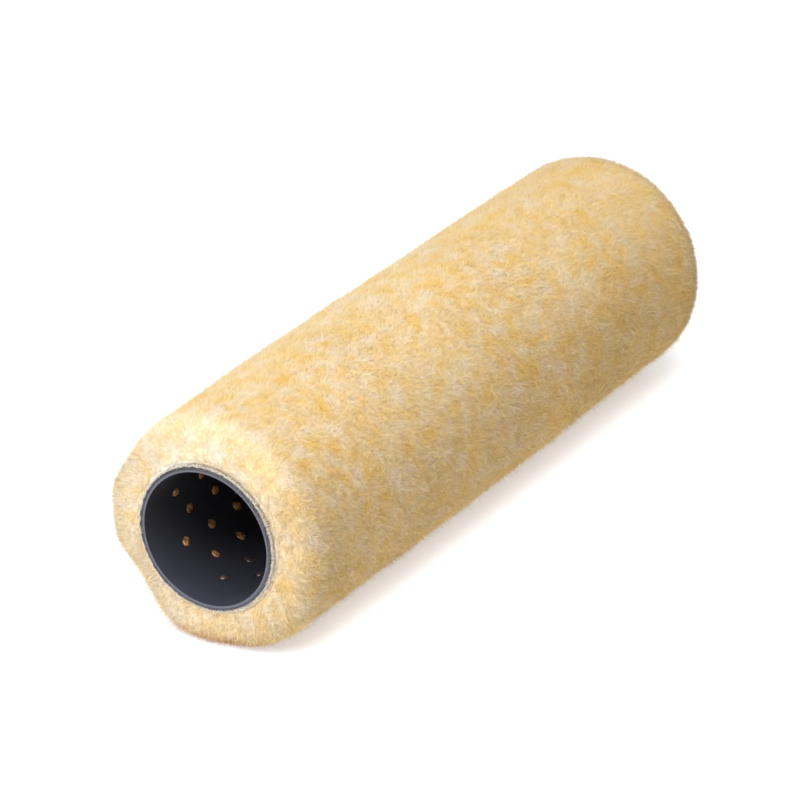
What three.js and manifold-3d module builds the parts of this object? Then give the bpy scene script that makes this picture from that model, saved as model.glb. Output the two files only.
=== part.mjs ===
// Paint roller sleeve: a perforated plastic core, a glue layer, a knitted backing and a deep fibre pile.
// The sleeve lies on its side. X runs along its axis, Z is up, and the origin is on the resting surface
// below the middle of the sleeve. All sizes are in millimetres.

import * as THREE from 'three';
import { mergeGeometries, mergeVertices } from 'three/addons/utils/BufferGeometryUtils.js';
import Module from 'manifold-3d';

// ---- driving dimensions ----

const SLEEVE_LENGTH = 228.6;        // a nine inch sleeve
const BORE_RADIUS = 19.05;          // a one and a half inch bore
const CORE_WALL = 1.6;
const BORE_CHAMFER = 0.4;           // broken inner edge at each end of the core

const HOLE_RADIUS = 1.2;
const HOLE_SIDES = 6;
const HOLES_PER_RING = 8;
const HOLE_RINGS = 32;
const HOLE_END_MARGIN = 14.6;       // from a core end to its first ring of holes
const HOLE_PATTERN_TURN = 10.5;     // degrees from straight up to the first column of holes

const LAYER_GAP = 0.3;              // between one layer and the next
const FILM_THICKNESS = 0.3;
const FILM_SETBACK = 1.2;           // the glue stops short of the core's ends
const BACKING_THICKNESS = 0.6;
const BACKING_SETBACK = 0.2;

const PILE_RADIUS = 33.9;
const PILE_SETBACK = 0.8;           // from the core's end to the root of the pile
const PILE_END_DEPTH = 7;           // how far in from its end the pile reaches full radius
const PILE_END_FULLNESS = 2.4;      // exponent of the rounded end: 2 is an ellipse
const PILE_END_STEPS = 9;
const REST_FLAT_DEPTH = 1;          // how far the pile is pressed flat under the sleeve's weight

const SEGMENTS = 48;                // round the axis, three for each column of holes

// ---- values worked out from them ----

const CORE_RADIUS = BORE_RADIUS + CORE_WALL;
const FILM_INNER = CORE_RADIUS + LAYER_GAP;
const FILM_OUTER = FILM_INNER + FILM_THICKNESS;
const BACKING_INNER = FILM_OUTER + LAYER_GAP;
const BACKING_OUTER = BACKING_INNER + BACKING_THICKNESS;
const PILE_ROOT = BACKING_OUTER + LAYER_GAP;
const HALF_LENGTH = SLEEVE_LENGTH / 2;
const AXIS_HEIGHT = PILE_RADIUS - REST_FLAT_DEPTH;
const FULL_TURN = 2 * Math.PI;

// ---- solids ----

const wasm = await Module();
wasm.setup();

function toSolid(geometry) {
  const bare = geometry.clone();
  bare.deleteAttribute('normal');
  bare.deleteAttribute('uv');
  const merged = mergeVertices(bare);
  const vertProperties = new Float32Array(merged.attributes.position.array);
  const triVerts = new Uint32Array(merged.index.array);
  return new wasm.Manifold(new wasm.Mesh({ numProp: 3, vertProperties, triVerts }));
}

function toGeometry(solid) {
  const { vertProperties, triVerts } = solid.getMesh();
  const geometry = new THREE.BufferGeometry();
  geometry.setAttribute('position', new THREE.BufferAttribute(vertProperties, 3));
  geometry.setIndex(new THREE.BufferAttribute(triVerts, 1));
  geometry.computeVertexNormals();
  return geometry;
}

// A body turned about the sleeve's axis. The outline is a closed ring of [distance along the axis,
// radius] points, walked out along the near end and back in along the far end.
// A flat of the many-sided body faces straight up, and another straight down.
function turned(outline) {
  const ring = [...outline, outline[0]];
  const points = ring.map(([along, radius]) => new THREE.Vector2(radius, along));
  const halfStep = FULL_TURN / SEGMENTS / 2;
  const geometry = new THREE.LatheGeometry(points, SEGMENTS, halfStep);
  geometry.rotateZ(-Math.PI / 2);
  return geometry;
}

function plainTube(innerRadius, outerRadius, halfLength) {
  return turned([
    [-halfLength, innerRadius],
    [-halfLength, outerRadius],
    [halfLength, outerRadius],
    [halfLength, innerRadius],
  ]);
}

// ---- the hole pattern, which the core and the glue share ----

// One six-sided peg for each hole of the core, reaching from one radius to another.
function pegs(radius, innerReach, outerReach) {
  const pitch = (SLEEVE_LENGTH - 2 * HOLE_END_MARGIN) / (HOLE_RINGS - 1);
  const turnStep = FULL_TURN / HOLES_PER_RING;
  const all = [];
  for (let ring = 0; ring < HOLE_RINGS; ring += 1) {
    const along = -HALF_LENGTH + HOLE_END_MARGIN + ring * pitch;
    const stagger = (ring % 2) * turnStep / 2;
    for (let hole = 0; hole < HOLES_PER_RING; hole += 1) {
      const peg = new THREE.CylinderGeometry(radius, radius, outerReach - innerReach, HOLE_SIDES);
      peg.rotateX(Math.PI / 2);
      peg.translate(0, 0, (innerReach + outerReach) / 2);
      peg.rotateX(stagger + hole * turnStep);
      peg.translate(along, 0, 0);
      all.push(peg);
    }
  }
  return mergeGeometries(all);
}

// ---- core: a tube with staggered rings of holes ----

function coreTube() {
  const chamfered = BORE_RADIUS + BORE_CHAMFER;
  const tube = turned([
    [-HALF_LENGTH + BORE_CHAMFER, BORE_RADIUS],
    [-HALF_LENGTH, chamfered],
    [-HALF_LENGTH, CORE_RADIUS],
    [HALF_LENGTH, CORE_RADIUS],
    [HALF_LENGTH, chamfered],
    [HALF_LENGTH - BORE_CHAMFER, BORE_RADIUS],
  ]);
  const drills = pegs(HOLE_RADIUS, BORE_RADIUS - CORE_WALL, CORE_RADIUS + CORE_WALL);
  return toGeometry(toSolid(tube).subtract(toSolid(drills)));
}

// ---- glue: a film outside the core, with a plug through each hole down to the bore ----

function adhesiveFilm() {
  const film = plainTube(FILM_INNER, FILM_OUTER, HALF_LENGTH - FILM_SETBACK);
  const plugs = pegs(HOLE_RADIUS - LAYER_GAP, BORE_RADIUS, FILM_INNER + FILM_THICKNESS / 2);
  return toGeometry(toSolid(film).add(toSolid(plugs)));
}

// ---- pile: a thick tube with full, rounded ends, pressed flat underneath ----

function pileEnd() {
  const points = [];
  for (let step = 0; step <= PILE_END_STEPS; step += 1) {
    const angle = (Math.PI / 2) * (step / PILE_END_STEPS);
    const sink = 1 - Math.cos(angle) ** (2 / PILE_END_FULLNESS);
    const rise = Math.sin(angle) ** (2 / PILE_END_FULLNESS);
    const along = HALF_LENGTH - PILE_SETBACK - sink * PILE_END_DEPTH;
    const radius = PILE_ROOT + rise * (PILE_RADIUS - PILE_ROOT);
    points.push([along, radius]);
  }
  return points;
}

function pile() {
  const farEnd = pileEnd();
  const nearEnd = farEnd.map(([along, radius]) => [-along, radius]);
  const round = toSolid(turned([...nearEnd, ...farEnd.reverse()]));
  const press = new THREE.BoxGeometry(2 * SLEEVE_LENGTH, 2 * PILE_RADIUS, PILE_RADIUS);
  press.translate(0, 0, -AXIS_HEIGHT - PILE_RADIUS / 2);
  return toGeometry(round.subtract(toSolid(press)));
}

// ---- the sleeve ----

const sleeve = new THREE.Group();
sleeve.position.set(0, 0, AXIS_HEIGHT);

function addPiece(name, geometry, color, roughness) {
  const material = new THREE.MeshStandardMaterial({ color, roughness, metalness: 0 });
  const mesh = new THREE.Mesh(geometry, material);
  mesh.name = name;
  sleeve.add(mesh);
  return mesh;
}

const patternTurn = THREE.MathUtils.degToRad(HOLE_PATTERN_TURN);
const core = addPiece('core_tube', coreTube(), 0x33363d, 0.45);
core.rotation.x = patternTurn;

const glue = addPiece('adhesive_film', adhesiveFilm(), 0xa8702c, 0.3);
glue.rotation.x = patternTurn;

const backing = plainTube(BACKING_INNER, BACKING_OUTER, HALF_LENGTH - BACKING_SETBACK);
addPiece('knit_backing', backing, 0xeae4d6, 0.9);

addPiece('pile', pile(), 0xead9a4, 0.95);

const model = new THREE.Group();
model.add(sleeve);

export default model;
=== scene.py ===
# %% [markdown]
# # A paint roller sleeve
# A roller sleeve is the soft cover that slips over a roller's cage. From the bore outwards it is a
# perforated plastic core, a film of glue, a knitted cloth and a deep nap of fine fibres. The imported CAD
# model gives the frame: where the axis lies, how long each layer is and how far out it reaches. This
# script builds the visible pieces round that frame in metres and never moves a CAD part.

# %% Load the frame
import math

import bpy
import numpy as np
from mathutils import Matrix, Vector


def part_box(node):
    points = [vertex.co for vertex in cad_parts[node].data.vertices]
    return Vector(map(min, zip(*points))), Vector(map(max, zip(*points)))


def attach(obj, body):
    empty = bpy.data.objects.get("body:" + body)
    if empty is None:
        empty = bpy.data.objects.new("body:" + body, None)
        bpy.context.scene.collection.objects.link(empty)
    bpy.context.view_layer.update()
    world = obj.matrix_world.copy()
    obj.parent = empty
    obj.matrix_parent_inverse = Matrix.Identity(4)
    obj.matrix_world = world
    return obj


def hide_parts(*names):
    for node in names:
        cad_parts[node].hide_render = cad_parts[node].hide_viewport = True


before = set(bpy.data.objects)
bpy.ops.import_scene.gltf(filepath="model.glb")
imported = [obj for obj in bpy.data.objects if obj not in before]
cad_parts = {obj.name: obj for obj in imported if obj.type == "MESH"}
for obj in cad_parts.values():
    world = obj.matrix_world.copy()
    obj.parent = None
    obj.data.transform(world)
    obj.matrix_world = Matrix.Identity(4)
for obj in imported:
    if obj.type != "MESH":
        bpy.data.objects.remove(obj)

MM = 0.001
FULL_TURN = 2 * math.pi
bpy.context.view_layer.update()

# %% [markdown]
# ## Where the layers are
# Every layer is a tube about one axis, so a node's box gives all that is needed: half its height is the
# layer's outer radius, and its middle is the axis. A place on a tube is then a distance along the axis
# and a turn from straight up, which is how the layers are measured out below.

# %% Measure the layers
core_low, core_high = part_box("core_tube")
backing_low, backing_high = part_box("knit_backing")
pile_low, pile_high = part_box("pile")

AXIS_HEIGHT = (core_low.z + core_high.z) / 2
CORE_RADIUS = (core_high.z - core_low.z) / 2
CORE_WALL = 1.6 * MM
BORE_RADIUS = CORE_RADIUS - CORE_WALL
BACKING_RADIUS = (backing_high.z - backing_low.z) / 2
PILE_RADIUS = (pile_high.y - pile_low.y) / 2
print("axis", AXIS_HEIGHT, "core", CORE_RADIUS, "backing", BACKING_RADIUS, "pile", PILE_RADIUS)


def on_tube(along, turn, radius):
    """Points at a distance along the axis, a turn from straight up and a radius."""
    along, turn, radius = np.broadcast_arrays(along, turn, radius)
    across = -radius * np.sin(turn)
    height = AXIS_HEIGHT + radius * np.cos(turn)
    return np.stack([along, across, height], axis=-1)


# %% [markdown]
# ## Camera
# The camera comes first, so that every later choice can be judged through it. It looks down on the
# sleeve from beyond its near end with a long lens, because the far end looks hardly smaller than the
# near one. Its place is given from the centre of the near end, in core radii, so it follows the frame.

# %% Place the camera
CAMERA_OFFSET = Vector((-44.70, -29.38, 26.56))
VIEW_AZIMUTH = math.radians(-59.40)
VIEW_ELEVATION = math.radians(24.69)
LENS_MM = 206.6
SENSOR_MM = 36.0

camera_data = bpy.data.cameras.new("camera")
camera_data.lens = LENS_MM
camera_data.sensor_width = SENSOR_MM
camera = bpy.data.objects.new("camera", camera_data)
bpy.context.scene.collection.objects.link(camera)
bpy.context.scene.camera = camera

towards_camera = Vector((
    math.sin(VIEW_AZIMUTH) * math.cos(VIEW_ELEVATION),
    -math.cos(VIEW_AZIMUTH) * math.cos(VIEW_ELEVATION),
    math.sin(VIEW_ELEVATION),
))
near_end = Vector((core_low.x, 0.0, AXIS_HEIGHT))
camera.location = near_end + CAMERA_OFFSET * CORE_RADIUS
camera.rotation_mode = "QUATERNION"
camera.rotation_quaternion = (-towards_camera).to_track_quat("-Z", "Y")
print("camera at", tuple(round(value, 3) for value in camera.location))

# %% [markdown]
# ## Shader sums
# A finish is a node tree, and most of it is arithmetic on masks. `Value` wraps a socket that carries a
# number and overloads the operators, so `1 - mask` adds its Math node by itself. `Finish` holds one
# material: its one `node` method makes any other node from a type, its settings and its sockets.


# %% Define the two helper classes
class Value:
    """A socket that carries a number, with arithmetic that adds Math nodes."""

    def __init__(self, finish, socket):
        self.finish = finish
        self.socket = socket

    def maths(self, operation, first, second):
        return self.finish.node("ShaderNodeMath", {"operation": operation}, {0: first, 1: second})

    def __add__(self, other):
        return self.maths("ADD", self, other)

    def __radd__(self, other):
        return self.maths("ADD", other, self)

    def __sub__(self, other):
        return self.maths("SUBTRACT", self, other)

    def __rsub__(self, other):
        return self.maths("SUBTRACT", other, self)

    def __mul__(self, other):
        return self.maths("MULTIPLY", self, other)

    def __rmul__(self, other):
        return self.maths("MULTIPLY", other, self)

    def __abs__(self):
        return self.maths("ABSOLUTE", self, 0.0)


class Finish:
    """A material under construction, round one Principled shader."""

    def __init__(self, name, **constants):
        self.material = bpy.data.materials.new(name)
        self.material.use_nodes = True
        self.tree = self.material.node_tree
        self.shader = self.tree.nodes["Principled BSDF"]
        for socket, value in constants.items():
            self.shader.inputs[socket.replace("_", " ")].default_value = value

    def feed(self, socket, value):
        if isinstance(value, Value):
            self.tree.links.new(value.socket, socket)
        else:
            socket.default_value = value

    def node(self, kind, settings=None, sockets=None, output=0):
        made = self.tree.nodes.new(kind)
        for key, value in (settings or {}).items():
            setattr(made, key, value)
        for key, value in (sockets or {}).items():
            self.feed(made.inputs[key], value)
        return Value(self, made.outputs[output])

    def noise(self, place, scale, detail=2.0, roughness=0.5):
        """A soft random number from 0 to 1 at each place. Scale is in lumps per metre."""
        sockets = {"Vector": place, "Scale": scale, "Detail": detail, "Roughness": roughness}
        return self.node("ShaderNodeTexNoise", None, sockets)

    def between(self, value, low, high):
        """0 at low, 1 at high, and smooth between them."""
        settings = {"interpolation_type": "SMOOTHSTEP"}
        sockets = {"Value": value, "From Min": low, "From Max": high}
        return self.node("ShaderNodeMapRange", settings, sockets)

    def mix(self, share, first, second, blend="MIX"):
        """A colour that goes from first to second as share goes from 0 to 1."""
        settings = {"data_type": "RGBA", "blend_type": blend}
        mixer = self.node("ShaderNodeMix", settings).socket.node
        colours = [socket for socket in mixer.inputs if socket.type == "RGBA"]
        self.feed(mixer.inputs[0], share)
        self.feed(colours[0], first)
        self.feed(colours[1], second)
        return Value(self, next(socket for socket in mixer.outputs if socket.type == "RGBA"))

    def place(self):
        """Where a point is, in the row frame."""
        return self.node("ShaderNodeNewGeometry")

    def coordinate(self, place, number):
        """One coordinate of a place: 0 is along the axis, 1 across it and 2 the height."""
        return self.node("ShaderNodeSeparateXYZ", None, {"Vector": place}, number)

    def attribute(self, name, output="Fac"):
        """What a mesh stores at its points under this name."""
        return self.node("ShaderNodeAttribute", {"attribute_name": name}, None, output)

    def colour(self, value):
        self.feed(self.shader.inputs["Base Color"], value)

    def roughness(self, value):
        self.feed(self.shader.inputs["Roughness"], value)

    def relief(self, height, depth):
        """Raises the surface by height, from 0 to 1, times depth in metres."""
        sockets = {"Height": height, "Distance": depth, "Strength": 1.0}
        bump = self.node("ShaderNodeBump", None, sockets)
        self.feed(self.shader.inputs["Normal"], bump)


# %% [markdown]
# ## Meshes from number tables
# The nap alone is nearly four million triangles, so pieces are made from numpy tables of points and
# faces. `add_piece` hands such tables to Blender, lets the piece ride on the model's one body and gives it
# its finish's material. `mark_points` stores what a finish needs to know about each point,
# and `sweep_faces` joins rings of points, which is how every tube below gets its faces.


# %% Define the piece maker
def add_piece(name, points, face_tables, finish):
    """A mesh object from a table of points and one table of faces for each number of corners."""
    mesh = bpy.data.meshes.new(name)
    corners = np.concatenate([table.ravel() for table in face_tables]).astype(np.int32)
    sizes = np.concatenate([np.full(len(table), table.shape[1]) for table in face_tables])
    starts = np.concatenate([[0], np.cumsum(sizes)[:-1]]).astype(np.int32)
    mesh.vertices.add(len(points))
    mesh.vertices.foreach_set("co", np.asarray(points, np.float32).ravel())
    mesh.loops.add(len(corners))
    mesh.loops.foreach_set("vertex_index", corners)
    mesh.polygons.add(len(sizes))
    mesh.polygons.foreach_set("loop_start", starts)
    mesh.update(calc_edges=True)
    mesh.shade_smooth()
    mesh.materials.append(finish.material)
    piece = bpy.data.objects.new(name, mesh)
    bpy.context.scene.collection.objects.link(piece)
    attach(piece, "root")
    print(name, len(points), "points", len(sizes), "faces")
    return piece


def mark_points(piece, name, values):
    """Stores a number or a vector at each point, for the finish to read."""
    values = np.asarray(values, np.float32)
    kind, field = ("FLOAT", "value") if values.ndim == 1 else ("FLOAT_VECTOR", "vector")
    piece.data.attributes.new(name, kind, "POINT").data.foreach_set(field, values.ravel())


def sweep_faces(rings, around, closed_along=False):
    """Four-cornered faces between rings of points, each ring closed round the axis."""
    ring = np.arange(rings if closed_along else rings - 1)[:, None] * around
    after = (ring + around) % (rings * around)
    step = np.arange(around)[None, :]
    beside = (step + 1) % around
    corners = [ring + step, after + step, after + beside, ring + beside]
    return np.stack(corners, axis=-1).reshape(-1, 4)


# %% [markdown]
# ## Studio floor
# The sleeve lies on a plain white floor that is bright enough to read as white, so only the soft shadow
# in front of the sleeve shows. A faint glow of its own lifts it, because paper lit to white would need
# lights that burn out the pale nap. The colours are shown as they are, with no film-like curve.

# %% Build the floor
FLOOR_HALF_WIDTH = 3.0
FLOOR_GLOW = 0.46
FLOOR_GLOW_TINT = (0.91, 0.945, 1, 1)
FLOOR_SHADES = ((0.87, 0.865, 0.86, 1), (0.90, 0.895, 0.89, 1))
FLOOR_GRAIN = 60.0

bpy.context.scene.view_settings.view_transform = "Standard"

floor_finish = Finish("floor_paper", Roughness=0.9, Emission_Strength=FLOOR_GLOW,
                      Emission_Color=FLOOR_GLOW_TINT)
floor_grain = floor_finish.noise(floor_finish.place(), FLOOR_GRAIN)
floor_finish.colour(floor_finish.mix(floor_grain, *FLOOR_SHADES))

floor_mesh = bpy.data.meshes.new("floor")
floor_square = ((-1, -1), (1, -1), (1, 1), (-1, 1))
floor_corners = [(x * FLOOR_HALF_WIDTH, y * FLOOR_HALF_WIDTH, 0) for x, y in floor_square]
floor_mesh.from_pydata(floor_corners, [], [(0, 1, 2, 3)])
floor_mesh.materials.append(floor_finish.material)
floor = bpy.data.objects.new("floor", floor_mesh)
bpy.context.scene.collection.objects.link(floor)
print("floor", 2 * FLOOR_HALF_WIDTH, "m wide")

# %% [markdown]
# ## Studio light
# One broad soft light hangs above the sleeve, and a weaker one stands before its near end. Both are a
# little blue and the white room all round is a little warm, so that shadows look warm and the light
# side of the nap neutral.

# %% Place the lights
ROOM_STRENGTH = 0.485
ROOM_TINT = (1.0, 0.945, 0.855, 1)
KEY_PLACE = Vector((-0.54, -0.20, 1.2))
KEY_SIZE = 1.1
KEY_POWER = 22.0
KEY_TINT = (0.95, 1.0, 1.13)
FILL_PLACE = Vector((-1.4, 0.55, 0.62))
FILL_SIZE = 0.9
FILL_POWER = 11.0
FILL_TINT = (0.95, 1.0, 1.12)

world = bpy.data.worlds.new("white_room")
world.use_nodes = True
room = world.node_tree.nodes["Background"]
room.inputs["Color"].default_value = ROOM_TINT
room.inputs["Strength"].default_value = ROOM_STRENGTH
bpy.context.scene.world = world


def add_soft_light(name, place, target, size, power, tint):
    """A square area light that faces its target."""
    light_data = bpy.data.lights.new(name, "AREA")
    light_data.shape = "SQUARE"
    light_data.size = size
    light_data.energy = power
    light_data.color = tint
    light = bpy.data.objects.new(name, light_data)
    light.location = place
    light.rotation_mode = "QUATERNION"
    light.rotation_quaternion = (target - place).to_track_quat("-Z", "Y")
    bpy.context.scene.collection.objects.link(light)
    print(name, "light", power, "W")


sleeve_middle = Vector((0, 0, AXIS_HEIGHT))
add_soft_light("key", KEY_PLACE, sleeve_middle, KEY_SIZE, KEY_POWER, KEY_TINT)
add_soft_light("end_fill", FILL_PLACE, near_end, FILL_SIZE, FILL_POWER, FILL_TINT)

# %% [markdown]
# ## Core plastic
# The core is plain dark grey plastic with a blue cast. Its bore is smooth from the mould, with faint
# lengthwise drawing lines, and its sawn ends are paler and rougher. The bore's upper half is painted
# darker, as painted shade.

# %% Make the core's finish
CORE_SHADES = ((0.030, 0.029, 0.037, 1), (0.041, 0.040, 0.052, 1))
CORE_PAINTED_SHADE = (0.020, 0.019, 0.021, 1)
CORE_SAWN = (0.088, 0.086, 0.104, 1)
BORE_SHADE_LOW = AXIS_HEIGHT - 12 * MM
BORE_SHADE_HIGH = AXIS_HEIGHT + 8 * MM
DRAWN_SCALE = (30, 900, 900)

core_finish = Finish("core_plastic", Metallic=0.0)
core_place = core_finish.place()
core_mottled = core_finish.mix(core_finish.noise(core_place, 90.0, 3.0), *CORE_SHADES)
# painted shade: the upper half of the bore is painted darker than the lower half
painted_shade_top = core_finish.between(core_finish.coordinate(core_place, 2), BORE_SHADE_LOW, BORE_SHADE_HIGH)
core_dark = core_finish.mix(painted_shade_top, core_mottled, CORE_PAINTED_SHADE)
sawn = core_finish.attribute("sawn")
core_finish.colour(core_finish.mix(sawn, core_dark, CORE_SAWN))
drawn_sockets = {"Vector": core_place, "Scale": DRAWN_SCALE}
drawn_lines = core_finish.noise(core_finish.node("ShaderNodeMapping", None, drawn_sockets), 1.0, 2.0)
core_finish.roughness(0.38 + drawn_lines * 0.12 + sawn * 0.25)
core_finish.relief(drawn_lines, 0.02 * MM)

# %% [markdown]
# ## Random shapes that repeat
# Nothing may be left to chance between runs, so every random draw comes from a seeded generator, and
# slow wandering shapes come from one lattice noise: random numbers on a grid, blended smoothly.


# %% Define the lattice noise
NOISE_TABLE_SIZE = 4096
NOISE_STRIDES = (73, 179, 283)


def smooth(share):
    """Eases a number that goes from 0 to 1 in and out."""
    return share * share * (3 - 2 * share)


def lattice_noise(points, lump, seed):
    """A smooth random number from -1 to 1 at each point. Lump is the size of a lump in metres."""
    table = np.random.default_rng(seed).uniform(-1, 1, NOISE_TABLE_SIZE)
    place = np.asarray(points) / lump + 100.0
    base = np.floor(place).astype(int)
    share = smooth(place - base)
    total = np.zeros(len(place))
    for corner in np.ndindex(2, 2, 2):
        cell = base + corner
        weight = np.prod(np.where(corner, share, 1 - share), axis=1)
        total += weight * table[(cell @ NOISE_STRIDES) % NOISE_TABLE_SIZE]
    return total


# %% [markdown]
# ## Core tube
# The wall is pierced by staggered rings of round holes. A boolean would leave ragged faces, so the wall
# is laid out flat as a grid of cells, like a chessboard: a plain cell is a patch of small squares, and
# a pierced cell is rings of faces that go from its square border to its round hole. The sheet is bent
# round the axis twice, for the bore and for the outside, and the holes' walls join the two.

# %% Lay out the hole pattern
HOLE_RADIUS = 1.2 * MM
HOLE_RINGS = 32
HOLE_COLUMNS = 16
HOLE_END_MARGIN = 14.6 * MM
HOLE_PATTERN_TURN = math.radians(10.5)

hole_pitch = (core_high.x - core_low.x - 2 * HOLE_END_MARGIN) / (HOLE_RINGS - 1)
column_turn = FULL_TURN / HOLE_COLUMNS


def hole_centres():
    """The ring, the column, the distance along the axis and the turn of each hole."""
    for ring in range(HOLE_RINGS):
        along = core_low.x + HOLE_END_MARGIN + ring * hole_pitch
        for column in range(ring % 2, HOLE_COLUMNS, 2):
            yield ring, column, along, HOLE_PATTERN_TURN + column * column_turn


print(sum(1 for _ in hole_centres()), "holes, pitch", hole_pitch)

# %% [markdown]
# The wall's points and faces are collected while it is laid out. A point is asked for by a key, such as
# its line and step in the grid, so faces that ask for the same key share the point and the wall has no
# seams. A face of the bore is wound the other way from one of the outside, so both look out of the wall.


# %% Define the collector of points and faces
class Wall:
    """The points and faces of the pierced tube, while it is laid out."""

    def __init__(self):
        self.points = []
        self.marks = []
        self.quads = []
        self.index = {}

    def point(self, key, along, turn, radius, mark=0.0):
        """The number of the point with this key, which is made when it is first asked for."""
        if key not in self.index:
            self.index[key] = len(self.points)
            self.points.append(on_tube(along, turn, radius))
            self.marks.append(mark)
        return self.index[key]

    def quad(self, outside, *corners):
        self.quads.append(corners if outside else corners[::-1])

    def join(self, outside, first, second):
        """A band of faces between two loops that have the same number of points."""
        for n in range(len(first)):
            after = (n + 1) % len(first)
            self.quad(outside, first[n], first[after], second[after], second[n])


wall = Wall()

# %% [markdown]
# The grid has a few lines in each plain end of the tube and a block of lines for each ring of holes. The
# bore opens a little towards its ends, which leaves the rim thinner than the rest of the wall.

# %% Lay out the grid
CELL_STEPS = 4
END_STEPS = 6
CORE_AROUND = HOLE_COLUMNS * CELL_STEPS
CORE_CHAMFER = 0.25 * MM
BORE_FLARE = 0.45 * MM
FLARE_DEPTH = 4 * MM

first_edge = core_low.x + HOLE_END_MARGIN - hole_pitch / 2
last_edge = core_high.x - HOLE_END_MARGIN + hole_pitch / 2
near_zone = np.linspace(core_low.x + CORE_CHAMFER, first_edge, END_STEPS + 1)
hole_zone = np.linspace(first_edge, last_edge, HOLE_RINGS * CELL_STEPS + 1)
far_zone = np.linspace(last_edge, core_high.x - CORE_CHAMFER, END_STEPS + 1)
grid_lines = np.concatenate([near_zone, hole_zone[1:-1], far_zone])
first_turn = HOLE_PATTERN_TURN - column_turn / 2
grid_turns = first_turn + np.arange(CORE_AROUND) * FULL_TURN / CORE_AROUND


def grid_point(outside, line, step):
    """The point where a line round the axis meets a step round the turn."""
    along = grid_lines[line]
    from_end = core_high.x - abs(along)
    flared = BORE_RADIUS + BORE_FLARE * max(0.0, 1 - from_end / FLARE_DEPTH)
    step %= CORE_AROUND
    radius = CORE_RADIUS if outside else flared
    return wall.point((outside, line, step), along, grid_turns[step], radius)


def plain_patch(lines, steps):
    """Plain faces over some lines and steps, in the bore and on the outside."""
    for outside in (0, 1):
        for line in lines:
            for step in steps:
                places = ((line, step), (line, step + 1), (line + 1, step + 1), (line + 1, step))
                wall.quad(outside, *(grid_point(outside, *place) for place in places))


print(len(grid_lines), "lines of", CORE_AROUND, "steps")

# %% [markdown]
# A pierced cell is two bands of faces: from its square border to a round collar, and from the collar to
# the hole's edge. The loops have the same number of points and start at the same corner, so the bands
# don't twist. A third band through the wall joins the hole's edge in the bore to its edge outside.

# %% Pierce the wall
COLLAR_RADIUS = 1.5 * HOLE_RADIUS
FIRST_CORNER = 0.625  # of a turn about the hole


def cell_border(outside, line, step):
    """The grid points round a cell, from its first corner."""
    side = range(CELL_STEPS)
    walk = [(0, k) for k in side] + [(i, CELL_STEPS) for i in side]
    walk += [(CELL_STEPS, CELL_STEPS - k) for k in side] + [(CELL_STEPS - i, 0) for i in side]
    return [grid_point(outside, line + i, step + k) for i, k in walk]


def hole_loop(outside, ring, column, size):
    """A round loop about a hole's centre, in step with the cell's border."""
    along = core_low.x + HOLE_END_MARGIN + ring * hole_pitch
    turn = HOLE_PATTERN_TURN + column * column_turn
    radius = CORE_RADIUS if outside else BORE_RADIUS
    loop = []
    for n in range(4 * CELL_STEPS):
        angle = FULL_TURN * (FIRST_CORNER - n / (4 * CELL_STEPS))
        away = size * math.cos(angle)
        beside = size * math.sin(angle) / radius
        loop.append(wall.point((outside, ring, column, size, n), along + away, turn + beside, radius))
    return loop


def pierced_cell(ring, column, line, step):
    edges = []
    for outside in (0, 1):
        border = cell_border(outside, line, step)
        collar = hole_loop(outside, ring, column, COLLAR_RADIUS)
        edge = hole_loop(outside, ring, column, HOLE_RADIUS)
        wall.join(outside, border, collar)
        wall.join(outside, collar, edge)
        edges.append(edge)
    wall.join(1, edges[1], edges[0])


pierced = {(ring, column) for ring, column, _, _ in hole_centres()}
for ring in range(HOLE_RINGS):
    line = END_STEPS + ring * CELL_STEPS
    for column in range(HOLE_COLUMNS):
        step = column * CELL_STEPS
        if (ring, column) in pierced:
            pierced_cell(ring, column, line, step)
        else:
            plain_patch(range(line, line + CELL_STEPS), range(step, step + CELL_STEPS))
print(len(wall.quads), "faces round", len(pierced), "holes")

# %% [markdown]
# The sleeve is sawn to length from a long tube. The saw leaves a flat face, palest next to the bore, and
# pushes a ragged lip of plastic up round the outer edge. The lip is a thin ring whose thickness wanders.

# %% Close the sawn ends
RIM_RINGS = ((0.0, 0.0), (0.06, 1.0), (0.4, 0.8), (0.55, 0.1), (0.92, 0.0))
BURR_AROUND = 420
BURR_SIDES = 6
BURR_THICKNESS = 0.12 * MM
BURR_RAGGEDNESS = 0.36 * MM
BURR_INSET = 0.05 * MM
BURR_SINK = 0.06 * MM
BURR_RISE = 1.3
BURR_MARK = 0.1


def sawn_face(end, line, edge_x):
    """Rings of faces from the bore to the outside, each with its own sawn mark."""
    loops = [[grid_point(0, line, step) for step in range(CORE_AROUND)]]
    for n, (into_wall, mark) in enumerate(RIM_RINGS):
        radius = BORE_RADIUS + BORE_FLARE + into_wall * (CORE_WALL - BORE_FLARE)
        loops.append([wall.point(("rim", end, n, step), edge_x, grid_turns[step], radius, mark)
                      for step in range(CORE_AROUND)])
    loops.append([grid_point(1, line, step) for step in range(CORE_AROUND)])
    for inner, outer in zip(loops, loops[1:]):
        wall.join(1 - end, inner, outer)


def build_burr(edge_x, inward):
    """The ragged lip that the saw leaves round the outer edge of an end."""
    turns = np.arange(BURR_AROUND) * FULL_TURN / BURR_AROUND
    line = on_tube(edge_x, turns, CORE_RADIUS)
    ragged = lattice_noise(line, 0.55 * MM, 3) * 0.5 + lattice_noise(line, 1.7 * MM, 4) * 0.5
    thick = BURR_THICKNESS + BURR_RAGGEDNESS * np.maximum(ragged, -0.22)
    rings = []
    for side in range(BURR_SIDES):
        angle = side * FULL_TURN / BURR_SIDES
        along = edge_x + inward * (BURR_INSET + thick * math.cos(angle))
        radius = CORE_RADIUS - BURR_SINK + BURR_RISE * thick * math.sin(angle)
        rings.append(on_tube(along, turns, radius))
    faces = sweep_faces(BURR_SIDES, BURR_AROUND, closed_along=True)
    return np.concatenate(rings), faces if inward > 0 else faces[:, ::-1]


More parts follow.
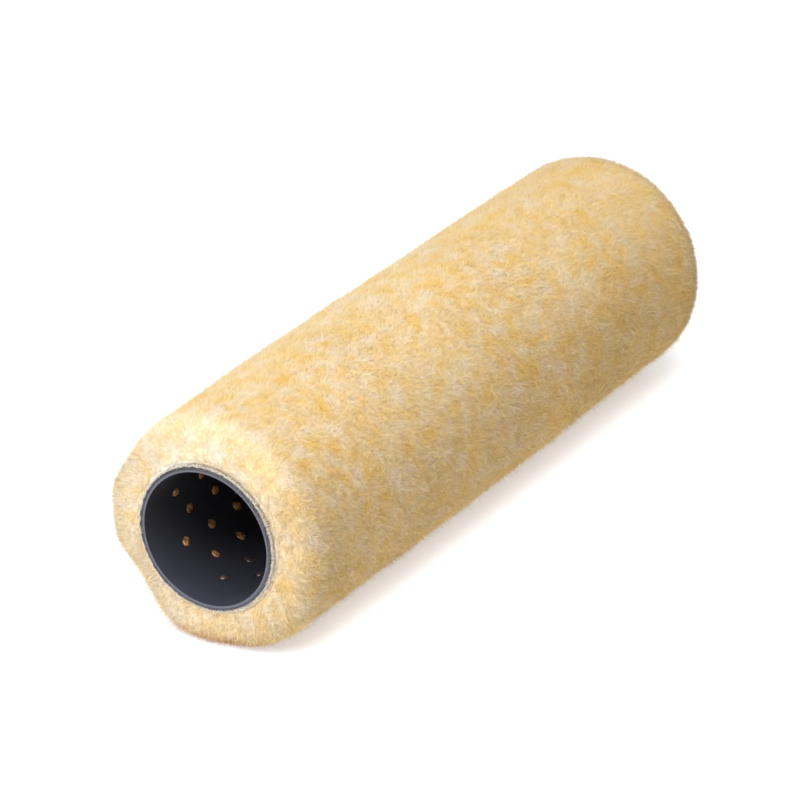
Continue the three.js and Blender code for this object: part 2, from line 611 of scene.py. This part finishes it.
last_line = len(grid_lines) - 1
plain_patch(range(END_STEPS), range(CORE_AROUND))
plain_patch(range(last_line - END_STEPS, last_line), range(CORE_AROUND))
sawn_face(0, 0, core_low.x)
sawn_face(1, last_line, core_high.x)
core_points, core_quads, core_marks = np.array(wall.points), np.array(wall.quads), np.array(wall.marks)
for edge_x, inward in ((core_low.x, 1), (core_high.x, -1)):
    burr_points, burr_faces = build_burr(edge_x, inward)
    core_quads = np.concatenate([core_quads, burr_faces + len(core_points)])
    core_points = np.concatenate([core_points, burr_points])
    core_marks = np.concatenate([core_marks, np.full(len(burr_points), BURR_MARK)])
core_piece = add_piece("perforated_core", core_points, [core_quads], core_finish)
mark_points(core_piece, "sawn", core_marks)
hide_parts("core_tube")

# %% [markdown]
# ## Glue
# Hot glue holds the cloth to the core and oozes into every hole, where it sets as an amber drop. The drops
# in the upper holes are painted darker, as painted shade, and those in the lowest holes are as dark as the
# core.

# %% Make the glue's finish
AMBER_SHADES = ((0.15, 0.06, 0.018, 1), (0.64, 0.31, 0.10, 1))
AMBER_PAINTED_SHADE = (0.05, 0.024, 0.010, 1)
GLUE_LOWEST_DARK = (0.045, 0.038, 0.042, 1)

glue_finish = Finish("cured_glue", IOR=1.5, Coat_Weight=1.0, Coat_Roughness=0.06)
glue_place = glue_finish.place()
glue_cloud = glue_finish.between(glue_finish.noise(glue_place, 900.0, 3.0, 0.6), 0.30, 0.58)
glue_amber = glue_finish.mix(glue_cloud, *AMBER_SHADES)
glue_height = glue_finish.coordinate(glue_place, 2)
# painted shade: the drops in the upper holes are painted darker
painted_shade_upper = glue_finish.between(glue_height, AXIS_HEIGHT - 6 * MM, AXIS_HEIGHT + 10 * MM)
glue_amber = glue_finish.mix(painted_shade_upper * 0.7, glue_amber, AMBER_PAINTED_SHADE)
# the drops in the lowest holes are coloured as dark as the core
lowest_dark = glue_finish.between(glue_height, AXIS_HEIGHT - 16.8 * MM, AXIS_HEIGHT - 17.6 * MM)
glue_finish.colour(glue_finish.mix(lowest_dark * 0.93, glue_amber, GLUE_LOWEST_DARK))
glue_finish.roughness(0.14 + glue_cloud * 0.2)
glue_finish.relief(glue_finish.noise(glue_place, 1300.0, 2.0), 0.2 * MM)

# %% [markdown]
# The film is a thin tube round the core. Each plug is a stack of rings on the hole's axis: a straight
# stem through the wall, a lip a little wider than the hole, and a low dome on the bore side. Every drop
# has its own size, height and tilt, because they set by chance.

# %% Build the glue film and its plugs
GLUE_INNER = CORE_RADIUS + 0.02 * MM
GLUE_OUTER = CORE_RADIUS + 0.5 * MM
GLUE_SETBACK = 1.8 * MM
GLUE_AROUND = 128
PLUG_AROUND = 18
PLUG_STEM = (0.98, 0.98)
PLUG_DOME = (1.14, 1.08, 0.9, 0.62, 0.3)


def glue_film():
    """A thin closed tube between the core and the cloth."""
    near, far = core_low.x + GLUE_SETBACK, core_high.x - GLUE_SETBACK
    outline = [(near, GLUE_INNER), (near, GLUE_OUTER), (far, GLUE_OUTER), (far, GLUE_INNER)]
    turns = np.arange(GLUE_AROUND) * FULL_TURN / GLUE_AROUND
    rings = [on_tube(along, turns, radius) for along, radius in outline]
    return np.concatenate(rings), sweep_faces(len(outline), GLUE_AROUND, closed_along=True)[:, ::-1]


def glue_plug(along, turn, draw):
    """One drop of glue in a hole, from the film to its domed head on the bore side."""
    bulge = draw.uniform(0.4, 0.8) * MM
    tilt = draw.uniform(-0.15, 0.15, 2)
    angle = np.arange(PLUG_AROUND) * FULL_TURN / PLUG_AROUND
    swell = draw.uniform(0.85, 1.1) + 0.1 * np.sin(2 * angle + draw.uniform(0, 6))

    def ring(share, size, radius):
        beside = share * size * np.sin(angle)
        return on_tube(along + share * size * np.cos(angle), turn + beside / BORE_RADIUS, radius)

    points = [ring(share, HOLE_RADIUS, radius)
              for share, radius in zip(PLUG_STEM, (GLUE_INNER, BORE_RADIUS + 0.05 * MM))]
    for share in PLUG_DOME:
        across = share / PLUG_DOME[0]
        size = HOLE_RADIUS * swell
        lean = share * size * (np.cos(angle) * tilt[0] + np.sin(angle) * tilt[1])
        radius = BORE_RADIUS - bulge * math.sqrt(1 - across ** 2) - lean * (1 - across)
        points.append(ring(share, size, radius))
    points.append(on_tube(along, turn, np.array([BORE_RADIUS - bulge])))
    return np.concatenate(points)


def build_glue():
    """The points and the tables of faces of the film and all its plugs."""
    draw = np.random.default_rng(11)
    rings = len(PLUG_STEM) + len(PLUG_DOME)
    step = np.arange(PLUG_AROUND)
    last_ring = (rings - 1) * PLUG_AROUND
    tip = np.full(PLUG_AROUND, rings * PLUG_AROUND)
    plug_quads = sweep_faces(rings, PLUG_AROUND)
    plug_cap = np.stack([last_ring + step, tip, last_ring + (step + 1) % PLUG_AROUND], axis=1)
    plug_base = np.stack([np.zeros(PLUG_AROUND - 2, int), step[1:-1], step[2:]], axis=1)
    points, quads = glue_film()
    tables, quads, triangles = [points], [quads], []
    count = len(points)
    for _, _, along, turn in hole_centres():
        tables.append(glue_plug(along, turn, draw))
        quads.append(plug_quads + count)
        triangles += [plug_cap + count, plug_base + count]
        count += len(tables[-1])
    return np.concatenate(tables), [np.concatenate(quads), np.concatenate(triangles)]


glue_points, glue_faces = build_glue()
glue_piece = add_piece("glue_film", glue_points, glue_faces, glue_finish)
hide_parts("adhesive_film")

# %% [markdown]
# ## Backing cloth
# The fibres are knitted into a white cloth tube. It is hidden but for its cut edges, which fray into a
# thin pale fringe round the core's ends.

# %% Make the cloth's finish
CLOTH_SHADES = ((0.84, 0.75, 0.58, 1), (0.94, 0.90, 0.82, 1))

cloth_finish = Finish("backing_cloth", Sheen_Weight=0.3, Sheen_Roughness=0.5)
cloth_place = cloth_finish.place()
cloth_cloud = cloth_finish.noise(cloth_place, 900.0, 3.0)
cloth_finish.colour(cloth_finish.mix(cloth_cloud, *CLOTH_SHADES))
cloth_finish.roughness(0.8 + cloth_cloud * 0.15)
cloth_finish.relief(cloth_cloud, 0.1 * MM)

# %% [markdown]
# The cloth fills the space from the glue to the CAD backing's outer radius. Fine ribs run along its
# outside as in a knit, and its two cut edges wander. It stops a little short of the core's ends.

# %% Build the cloth tube
CLOTH_INNER = GLUE_OUTER
CLOTH_OUTER = BACKING_RADIUS
CLOTH_TUCK = 1.6 * MM
CLOTH_AROUND = 240
CLOTH_STATIONS = 40
CLOTH_RIBS = 60
CLOTH_RIB_HEIGHT = 0.06 * MM
CLOTH_FRAY = 0.35 * MM


def build_cloth():
    """A closed tube whose edges wander and whose outside has fine ribs."""
    turns = np.arange(CLOTH_AROUND) * FULL_TURN / CLOTH_AROUND
    wander = CLOTH_FRAY * lattice_noise(on_tube(0.0, turns, CLOTH_OUTER), 2 * MM, 5)
    ribbed = CLOTH_OUTER + CLOTH_RIB_HEIGHT * np.sin(turns * CLOTH_RIBS)
    stations = np.linspace(backing_low.x + CLOTH_TUCK, backing_high.x - CLOTH_TUCK, CLOTH_STATIONS)
    frayed = [station + wander * (n in (0, CLOTH_STATIONS - 1)) for n, station in enumerate(stations)]
    rings = [on_tube(station, turns, ribbed) for station in frayed]
    rings += [on_tube(station, turns, CLOTH_INNER) for station in frayed[::-1]]
    return np.concatenate(rings), sweep_faces(len(rings), CLOTH_AROUND, closed_along=True)[:, ::-1]


cloth_points, cloth_faces = build_cloth()
cloth_piece = add_piece("backing_cloth", cloth_points, [cloth_faces], cloth_finish)
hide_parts("knit_backing")

# %% [markdown]
# ## The skin of the nap
# The nap's outer surface is a turned shape: a cylinder whose ends round over and run down to the
# cloth's edge. Everything in the nap is measured from this skin: a place on it, the way out of it, and
# the ways along and round it.

# %% Draw the skin's outline
SKIN_ROOT = CORE_RADIUS + 0.05 * MM
SKIN_SETBACK = 0.35 * MM
END_DEPTH = 8.0 * MM
END_FULLNESS = 2.6
PROFILE_STEPS = 60
PROFILE_MIDDLE_STEPS = 80


def skin_profile():
    """Distance along the axis and radius of the outline, from the near edge to the far one."""
    angle = np.linspace(0, math.pi / 2, PROFILE_STEPS)
    sink = (1 - np.cos(angle) ** (2 / END_FULLNESS)) * END_DEPTH
    rise = np.sin(angle) ** (2 / END_FULLNESS)
    radius = SKIN_ROOT + rise * (PILE_RADIUS - SKIN_ROOT)
    near = np.stack([core_low.x + SKIN_SETBACK + sink, radius], axis=1)
    straight = np.linspace(near[-1, 0], -near[-1, 0], PROFILE_MIDDLE_STEPS)[1:-1]
    middle = np.stack([straight, np.full(len(straight), PILE_RADIUS)], axis=1)
    far = np.stack([core_high.x - SKIN_SETBACK - sink, radius], axis=1)[::-1]
    return np.concatenate([near, middle, far])


profile = skin_profile()
profile_step = np.linalg.norm(np.diff(profile, axis=0), axis=1)
profile_run = np.concatenate([[0], np.cumsum(profile_step)])
print("skin outline", round(profile_run[-1] / MM, 1), "mm long")

# %% [markdown]
# No real nap is as round as its turned outline. The near end has hollows and swellings, the nap grows a
# little thicker away from it, and it sags low down on the side that faces the camera. All of this fades
# out at the rim. Slow shallow lumps of two sizes are everywhere.

# %% Make the nap uneven
END_LUMPS = (  # degrees round from the top, half width in degrees, height
    (181, 9, 0.8 * MM),
    (200, 12, 1.5 * MM),
    (231, 17, -1.9 * MM),
    (255, 8, 1.1 * MM),
    (279, 7, 1.0 * MM),
    (302, 15, -1.3 * MM),
)
END_LUMP_REACH = 55 * MM
SWELL_HEIGHT = 0.45 * MM
SWELL_REACH = 60 * MM
SAG = (135, 24, 0.9 * MM)
SAG_END = 190 * MM
SAG_FADE = 60 * MM
RIM_FADE = 7 * MM
SKIN_LUMPS = ((0.25 * MM, 16 * MM, 21), (0.13 * MM, 6 * MM, 22))  # height, size, seed


def lump(turn, middle, half_width, height):
    """One broad lump on a side of the nap."""
    away = (np.degrees(turn) - middle + 180) % 360 - 180
    return height * np.exp(-0.5 * (away / half_width) ** 2)


def unevenness(place, turn):
    """How far the nap stands out from its turned outline at each place."""
    from_end = place[:, 0] - core_low.x
    near = smooth(np.clip(1 - from_end / END_LUMP_REACH, 0, 1))
    total = SWELL_HEIGHT * np.clip(from_end / SWELL_REACH, 0, 1)
    total += np.clip((SAG_END - from_end) / SAG_FADE, 0, 1) * lump(turn, *SAG)
    total += near * sum(lump(turn, *end_lump) for end_lump in END_LUMPS)
    from_core = np.hypot(place[:, 1], place[:, 2] - AXIS_HEIGHT) - CORE_RADIUS
    total *= np.clip(from_core / RIM_FADE, 0, 1)
    return total + sum(height * lattice_noise(place, size, seed) for height, size, seed in SKIN_LUMPS)


# %% [markdown]
# The skin gives, for any run along the outline and any turn, the place and the three ways that every
# fibre there is measured by. The slope is taken over a few millimetres, so the shoulder turns smoothly.
# What would pass through the core or the floor is bent back, and settles softly just short of it.

# %% Define the skin
SLOPE_REACH = 2.0 * MM
CORE_CLEARANCE = 0.04 * MM
CORE_GIVE = 0.35 * MM
FLOOR_CLEARANCE = 0.3 * MM
FLOOR_GIVE = 1.5 * MM


def outline_at(run):
    """Distance along the axis and radius at some runs along the outline, which stops at its ends."""
    return [np.interp(run, profile_run, profile[:, k]) for k in (0, 1)]


def skin(run, turn):
    """Points of the skin, with the ways out of it, along it and round it."""
    along, radius = outline_at(run)
    slope = np.subtract(outline_at(run + SLOPE_REACH), outline_at(run - SLOPE_REACH))
    slope_along, slope_out = (slope / np.hypot(*slope))[:, :, None]
    radial = np.stack([np.zeros_like(turn), -np.sin(turn), np.cos(turn)], axis=1)
    axial = np.array([1.0, 0.0, 0.0])
    along_way = slope_along * axial + slope_out * radial
    out_way = slope_along * radial - slope_out * axial
    place = on_tube(along, turn, radius)
    place = place + unevenness(place, turn)[:, None] * out_way
    return place, out_way, along_way, np.cross(along_way, out_way)


def held_above(size, limit, give):
    """Sizes that settle softly above a limit instead of passing it."""
    past = np.minimum(size - limit - give, 0) / give
    return np.where(past < 0, limit + give * np.exp(past), size)


def keep_off_core(points):
    """Bends whatever would pass through the core out to just above its surface."""
    across, height = points[:, 1], points[:, 2] - AXIS_HEIGHT
    radius = np.hypot(across, height)
    push = held_above(radius, CORE_RADIUS + CORE_CLEARANCE, CORE_GIVE) / radius
    points[:, 1] = across * push
    points[:, 2] = AXIS_HEIGHT + height * push
    return points


def press_down(points):
    """Bends whatever would reach below the floor back to just above it."""
    points[:, 2] = held_above(points[:, 2], FLOOR_CLEARANCE, FLOOR_GIVE)
    return points


# %% [markdown]
# ## Nap finish
# Two dyed fibres are blended in the yarn, a cream one and a straw gold one, and both pale in places.
# Where one of them gathers, the nap shows a soft blotch a few millimetres across. Each fibre takes its
# colour from the place of its root, so neighbours agree and blotches have feathered edges.

# %% Blend the yarn's colours
CREAM = (0.89, 0.675, 0.345, 1)
PALE = (0.90, 0.755, 0.555, 1)
WHITE = (0.91, 0.82, 0.64, 1)
GOLD = (0.87, 0.535, 0.09, 1)
DULL = (0.60, 0.39, 0.13, 1)

nap_finish = Finish("nap_fibre", Roughness=0.9, Sheen_Weight=0.05, Sheen_Roughness=0.5,
                    Specular_IOR_Level=0.15)
root = nap_finish.attribute("root", "Vector")
stray = nap_finish.attribute("stray")
root_along, root_across, root_height = (nap_finish.coordinate(root, number) for number in range(3))
blotch = nap_finish.noise(root, 230.0, 1.5, 0.5)
jitter = (stray - 0.5) * 0.06
blotch_mix = blotch * 0.85 + nap_finish.noise(root, 80.0, 1.0, 0.5) * 0.15 + jitter
gold_share = nap_finish.between(blotch_mix, 0.37, 0.71)
pale_share = nap_finish.between(nap_finish.noise(root, 200.0, 2.0, 0.5) - jitter, 0.38, 0.68)
towards_far = nap_finish.between(root_along, 0.0, core_high.x)
nap_colour = nap_finish.mix(pale_share * (1.0 - towards_far * 0.4), CREAM, PALE)
nap_colour = nap_finish.mix(towards_far * 0.16, nap_colour, DULL)

# %% [markdown]
# The loose fibres at both ends are paler, most of all by the rim, partly in their own colour and partly as
# painted highlight, which is strongest on one side. The gold is laid over them more thinly there. A few
# strays everywhere are dull.

# %% Pale the ends, paint their highlight and lay the gold over
at_end = nap_finish.between(abs(root_along), core_high.x - 11 * MM, core_high.x - 1 * MM)
flat_root = nap_finish.node("ShaderNodeVectorMath", {"operation": "MULTIPLY"}, {0: root, 1: (0, 1, 1)})
axis_point = {0: flat_root, 1: (0, 0, AXIS_HEIGHT)}
from_axis = nap_finish.node("ShaderNodeVectorMath", {"operation": "DISTANCE"}, axis_point, 1)
at_rim = nap_finish.between(from_axis, CORE_RADIUS + 5 * MM, CORE_RADIUS + 0.5 * MM) * at_end
# painted highlight: the ends are painted paler on the side that faces the end fill light
painted_highlight_side = nap_finish.between(root_across, -22 * MM, 12 * MM)
pale_and_painted_highlight = at_end * (0.26 + painted_highlight_side * 0.42) + at_rim * 0.1
nap_colour = nap_finish.mix(pale_and_painted_highlight, nap_colour, WHITE)
nap_colour = nap_finish.mix(gold_share * (0.82 - towards_far * 0.12 - at_end * 0.3), nap_colour, GOLD)
dull_and_shaded_stray = nap_finish.between(stray, 0.55, 1.0)
nap_colour = nap_finish.mix(dull_and_shaded_stray * 0.12, nap_colour, DULL)

# %% [markdown]
# Light doesn't reach far between fibres: the underside is painted warmer and darker, and the gaps between
# tufts and some strays are painted dim, most of all on the sides. Along the bottom, where it meets the
# floor, the nap is browner.

# %% Shade the gaps and the underside
SHADED = (0.72, 0.45, 0.12, 1)
GAP = (0.74, 0.70, 0.64, 1)
BOTTOM_BROWN = (0.43, 0.20, 0.065, 1)

underneath = nap_finish.between(root_height, 60 * MM, 4 * MM)
nap_colour = nap_finish.mix(underneath * (0.35 - at_end * 0.28), nap_colour, SHADED)
on_side = nap_finish.between(root_height, 66 * MM, 36 * MM)
tuft = nap_finish.between(nap_finish.noise(root, 1500.0, 2.0, 0.6), 0.62, 0.36)
nap_colour = nap_finish.mix(tuft * (0.12 + on_side * 0.46), nap_colour, GAP, "MULTIPLY")
# painted shade: strays are darkened, most of all on the sides
nap_colour = nap_finish.mix(dull_and_shaded_stray * (0.25 + on_side * 0.75), nap_colour, GAP, "MULTIPLY")
# the bottom, where the nap meets the floor, is coloured browner
bottom_brown_share = nap_finish.between(root_height + blotch * (7 * MM), 9.2 * MM, 4.6 * MM)
nap_finish.colour(nap_finish.mix(bottom_brown_share * (0.45 + at_end * 0.5), nap_colour, BOTTOM_BROWN))
print("nap finish", len(nap_finish.tree.nodes), "nodes")

# %% [markdown]
# ## The body of the nap
# Deep down the fibres are so dense that no light passes between them. A solid shell a little
# under the skin stands for that part, and the loose fibre ends grow out of it.

# %% Build the nap's body
BODY_DEPTH = 1.5 * MM
BODY_ROUGHNESS = 0.3 * MM
BODY_AROUND = 200
BODY_STATIONS = 260


def build_body():
    """A closed shell under the skin, with a bore that the cloth fits."""
    turns = np.arange(BODY_AROUND) * FULL_TURN / BODY_AROUND
    runs = np.linspace(0, profile_run[-1], BODY_STATIONS)
    run, turn = (table.ravel() for table in np.meshgrid(runs, turns, indexing="ij"))
    place, out_way, _, _ = skin(run, turn)
    rough = BODY_ROUGHNESS * lattice_noise(place, 1.6 * MM, 31)
    outside = place - (BODY_DEPTH + rough)[:, None] * out_way
    radius = np.hypot(outside[:, 1], outside[:, 2] - AXIS_HEIGHT)
    push = np.maximum((BACKING_RADIUS + 0.1 * MM) / radius, 1.0)
    outside[:, 1] *= push
    outside[:, 2] = AXIS_HEIGHT + (outside[:, 2] - AXIS_HEIGHT) * push
    ends = outside.reshape(BODY_STATIONS, BODY_AROUND, 3)
    far_x, near_x = ends[-1, :, 0].min(), ends[0, :, 0].max()
    inner = [on_tube(x, turns, BACKING_RADIUS + 0.02 * MM) for x in (far_x - MM, near_x + MM)]
    points = press_down(np.concatenate([outside, *inner]))
    return points, sweep_faces(BODY_STATIONS + 2, BODY_AROUND, closed_along=True)[:, ::-1]


body_points, body_faces = build_body()
body_piece = add_piece("nap_body", body_points, [body_faces], nap_finish)
mark_points(body_piece, "root", body_points)
mark_points(body_piece, "stray", np.full(len(body_points), 0.5))
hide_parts("pile")

# %% [markdown]
# ## Fibres
# The nap's softness is in its fibre ends, so they are real geometry: each is a slim three-sided spike
# with a bend in the middle. They are planted evenly over the skin, rooted below it, and lean together
# in a slow wandering flow with some disorder of their own. At the ends they fan outwards from the core.
# A fibre's shading mostly follows the skin's, which is how a dense nap catches light as one surface.

# %% Plant the fibres
NAP_SECTORS = 8
YARN_MIX = 0.5 * MM
THIN_OUT = 1.0
EVEN_STEPS = np.array([0.7548776662, 0.5698402910])
FLOW_LUMPS = ((0.32, 24 * MM), (0.08, 8 * MM))
FLOW_ALONG = 0.18
FLOW_ROUND = 0.20
RIM_RUN = 4 * MM
RIM_LEAN = 0.6
FAN_START = 0.5 * MM
FAN_RISE = 8 * MM
FAN_END = 20 * MM
FAN_FADE = 11 * MM
FAN_LEAN = 0.7


def unit(vectors):
    return vectors / np.linalg.norm(vectors, axis=1, keepdims=True)


def three_ways(way, beside):
    """Three ways out of a spike, evenly spaced round it."""
    side = unit(np.cross(way, beside))
    other = np.cross(way, side)
    angles = (FULL_TURN * k / 3 for k in range(3))
    return [math.cos(angle) * side + math.sin(angle) * other for angle in angles]


def even_spread(count, draw):
    """Pairs of numbers from 0 to 1 that fill a square evenly but in no visible order."""
    steps = np.arange(count)[:, None] * EVEN_STEPS
    return (steps + draw.uniform(0, 0.6, (count, 2)) / math.sqrt(count)) % 1


def wandering(place, seed):
    """A slow random flow with a finer one on top."""
    parts = enumerate(FLOW_LUMPS)
    return sum(strength * lattice_noise(place, size, seed + n) for n, (strength, size) in parts)


def edge_lean(run):
    """How far a fibre is past the rim, and its lean there: over the rim, then fanned out from it."""
    edge_run = np.minimum(run, profile_run[-1] - run)
    fan = np.clip((edge_run - FAN_START) / FAN_RISE, 0, 1) * np.clip((FAN_END - edge_run) / FAN_FADE, 0, 1)
    from_rim = np.clip(edge_run / RIM_RUN, 0, 1)
    inward = np.where(run < profile_run[-1] / 2, 1.0, -1.0)
    return from_rim, inward * (fan * FAN_LEAN - RIM_LEAN * (1 - from_rim))


def plant_fibres(count, disorder, seed):
    """A table of evenly planted fibres: where each meets the skin, which way it leans, its stray."""
    draw = np.random.default_rng(seed)
    middle_radius = (profile[1:, 1] + profile[:-1, 1]) / 2
    area = np.concatenate([[0], np.cumsum(profile_step * middle_radius)])
    spread = even_spread(count, draw)
    run = np.interp(spread[:, 0] * area[-1], area, profile_run)
    turn = spread[:, 1] * FULL_TURN
    place, out_way, along_way, round_way = skin(run, turn)
    from_rim, fanned = edge_lean(run)
    flow_along = (FLOW_ALONG + wandering(place, 41)) * from_rim + fanned
    flow_round = FLOW_ROUND + wandering(place, 43)
    own = draw.normal(0, disorder, (2, count))
    lean = (flow_along + own[0])[:, None] * along_way
    lean += (flow_round + own[1])[:, None] * round_way
    stray = draw.uniform(0, 1, count)
    dye = place + draw.normal(0, YARN_MIX, (count, 3))
    sector = np.floor(turn / FULL_TURN * NAP_SECTORS)
    order = np.lexsort((turn, np.floor(run / (2 * MM)), sector))
    return {"place": place[order], "out": out_way[order], "lean": lean[order], "stray": stray[order],
            "dye": dye[order], "sector": sector[order].astype(int)}


# %% [markdown]
# A fibre's foot is sunk below the skin and its tip is carried along by its lean, which also lowers it.
# Its middle bows outwards and back against the lean, so that it stands up first and then bends over, as
# combed hair does. Most fibres end near the skin and a few stand proud of it.

# %% Shape the fibres
LEAN_REACH = 0.9
LEAN_DROP = 0.12
CURVE = 1.2
CURVE_LEAN = 0.5
PROUD_LIMIT = 4.0
PROUD_SHIFT = 0.8


def shape_fibres(planted, kind, draw):
    """Rings of three points up each fibre and one point at its tip, with the way each point faces."""
    place, out_way, lean = planted["place"], planted["out"], planted["lean"]
    count, rings, depth = len(place), len(kind["rings"]), kind["depth"]
    proud = np.minimum(draw.exponential(1.0, count), PROUD_LIMIT)[:, None] - PROUD_SHIFT
    foot = place - depth * out_way
    tip = place + kind["proud"] * proud * out_way + LEAN_REACH * depth * lean
    tip -= LEAN_DROP * depth * np.sum(lean * lean, axis=1, keepdims=True) * out_way
    way = unit(tip - foot)
    offs = three_ways(way, unit(draw.normal(0, 1, (count, 3))))
    width = kind["width"] * draw.uniform(0.7, 1.3, count)[:, None]
    points = np.empty((count, 3 * rings + 1, 3))
    normals = np.empty_like(points)
    for ring, (share, thickness) in enumerate(kind["rings"]):
        curve = CURVE * share * (1 - share) * depth
        middle = foot + share * (tip - foot) + curve * (out_way - CURVE_LEAN * lean)
        for k, off in enumerate(offs):
            points[:, 3 * ring + k] = middle + thickness * width * off
            normals[:, 3 * ring + k] = kind["skin_share"] * out_way + (1 - kind["skin_share"]) * off
    points[:, -1] = tip
    normals[:, -1] = out_way
    return points.reshape(-1, 3), unit(normals.reshape(-1, 3))


def fibre_faces(count, rings):
    """Closed spikes: four-cornered sides between rings, a three-cornered foot and a pointed top."""
    start = np.arange(count)[:, None] * (3 * rings + 1)
    top = 3 * (rings - 1)
    triangles = [start + (top + k, top + (k + 1) % 3, top + 3) for k in range(3)]
    triangles.append(start + (0, 2, 1))
    sides = [(low + k, low + (k + 1) % 3, low + 3 + (k + 1) % 3, low + 3 + k)
             for low in range(0, top, 3) for k in range(3)]
    tables = [np.concatenate(triangles)]
    if sides:
        tables.insert(0, np.concatenate([start + side for side in sides]))
    return tables


# %% [markdown]
# The fibres are split into sectors round the axis, so that no one mesh is too heavy. Each fibre also
# gets a small patch of its own in a map, root to tip, so that its colour can be stored in a picture.
# Three kinds are mixed: long bent strands, a dense short down between them, and a few fine hairs that
# stand proudest and soften the outline.


# %% Make the fibre pieces
def bake_map(mesh, count, corners_each):
    """Gives each fibre its own small cell in the map."""
    side = math.ceil(math.sqrt(count))
    cell = np.arange(count)
    corner = np.stack([cell % side, cell // side], axis=1) / side
    up = np.linspace(0.2, 0.8, corners_each)
    across = 0.5 + 0.3 * np.cos(np.arange(corners_each) * FULL_TURN / 3)
    local = np.stack([across, up], axis=1) / side
    spots = (corner[:, None, :] + local[None, :, :]).reshape(-1, 2)
    vertex = np.empty(len(mesh.loops), np.int32)
    mesh.loops.foreach_get("vertex_index", vertex)
    layer = mesh.uv_layers.new(name="OFBake")
    layer.data.foreach_set("uv", spots[vertex].astype(np.float32).ravel())


STRANDS = {"name": "nap_strands", "count": 150000, "disorder": 0.40, "seed": 7, "depth": 3.4 * MM,
           "proud": 0.55 * MM, "width": 0.048 * MM, "rings": ((0.0, 1.2), (0.5, 1.0)), "skin_share": 0.82}
DOWN = {"name": "nap_down", "count": 360000, "disorder": 0.6, "seed": 8, "depth": 2.2 * MM,
        "proud": 0.25 * MM, "width": 0.075 * MM, "rings": ((0.0, 1.0),), "skin_share": 0.95}
FUZZ = {"name": "nap_fuzz", "count": 56000, "disorder": 0.5, "seed": 9, "depth": 2.6 * MM,
        "proud": 0.9 * MM, "width": 0.022 * MM, "rings": ((0.0, 1.2), (0.5, 1.0)), "skin_share": 0.9}


def add_fibres(kind):
    """One piece for each sector, made of one kind of fibre."""
    planted = plant_fibres(int(kind["count"] * THIN_OUT), kind["disorder"], kind["seed"])
    rings, pieces = len(kind["rings"]), []
    corners_each = 3 * rings + 1
    for number in range(NAP_SECTORS):
        chosen = {key: table[planted["sector"] == number] for key, table in planted.items()}
        count = len(chosen["place"])
        points, normals = shape_fibres(chosen, kind, np.random.default_rng(100 * kind["seed"] + number))
        points = press_down(keep_off_core(points))
        name = f"{kind['name']}_{number + 1}"
        piece = add_piece(name, points, fibre_faces(count, rings), nap_finish)
        mark_points(piece, "root", np.repeat(chosen["dye"], corners_each, axis=0))
        mark_points(piece, "stray", np.repeat(chosen["stray"], corners_each))
        bake_map(piece.data, count, corners_each)
        piece.data.normals_split_custom_set_from_vertices(normals)
        pieces.append(piece)
    return pieces


fibre_pieces = [piece for kind in (STRANDS, DOWN, FUZZ) for piece in add_fibres(kind)]

# %% [markdown]
# ## The frayed edge
# The cloth's cut edge sheds short white threads over the glue line. They are the same slim spikes, only
# shorter, and they point out of the cut in all directions.

# %% Build the fringe
FRINGE_COUNT = 10000
FRINGE_LENGTH = 0.7 * MM
FRINGE_WIDTH = 0.035 * MM
FRINGE_ROOT = 0.4 * MM
FRINGE_CORNERS = 7


def build_fringe():
    """Short spikes with one bend, rooted just inside the cloth's two edges."""
    draw = np.random.default_rng(61)
    turn = draw.uniform(0, FULL_TURN, FRINGE_COUNT)
    far = draw.uniform(0, 1, FRINGE_COUNT) < 0.5
    outward = np.where(far, 1.0, -1.0)
    edge = np.where(far, backing_high.x, backing_low.x)
    radius = CORE_RADIUS + draw.uniform(0.08, 0.85, FRINGE_COUNT) * MM
    root = on_tube(edge - outward * FRINGE_ROOT, turn, radius)
    level = np.zeros(FRINGE_COUNT)
    radial = np.stack([level, -np.sin(turn), np.cos(turn)], axis=1)
    axial = np.stack([outward, level, level], axis=1)
    way = axial + draw.normal(0.1, 0.6, (FRINGE_COUNT, 1)) * radial
    way = unit(way + draw.normal(0, 0.5, (FRINGE_COUNT, 3)))
    length = FRINGE_LENGTH * draw.uniform(0.5, 1.3, FRINGE_COUNT)[:, None]
    bend = root + 0.55 * length * way
    tip = root + length * unit(way + draw.normal(0, 0.5, (FRINGE_COUNT, 3)))
    points = np.empty((FRINGE_COUNT, FRINGE_CORNERS, 3))
    for k, off in enumerate(three_ways(way, radial)):
        points[:, k] = root + FRINGE_WIDTH * off
        points[:, 3 + k] = bend + FRINGE_WIDTH * off
    points[:, -1] = tip
    return keep_off_core(points.reshape(-1, 3))


fringe_faces = fibre_faces(FRINGE_COUNT, 2)
fringe_piece = add_piece("cloth_fringe", build_fringe(), fringe_faces, cloth_finish)
bake_map(fringe_piece.data, FRINGE_COUNT, FRINGE_CORNERS)
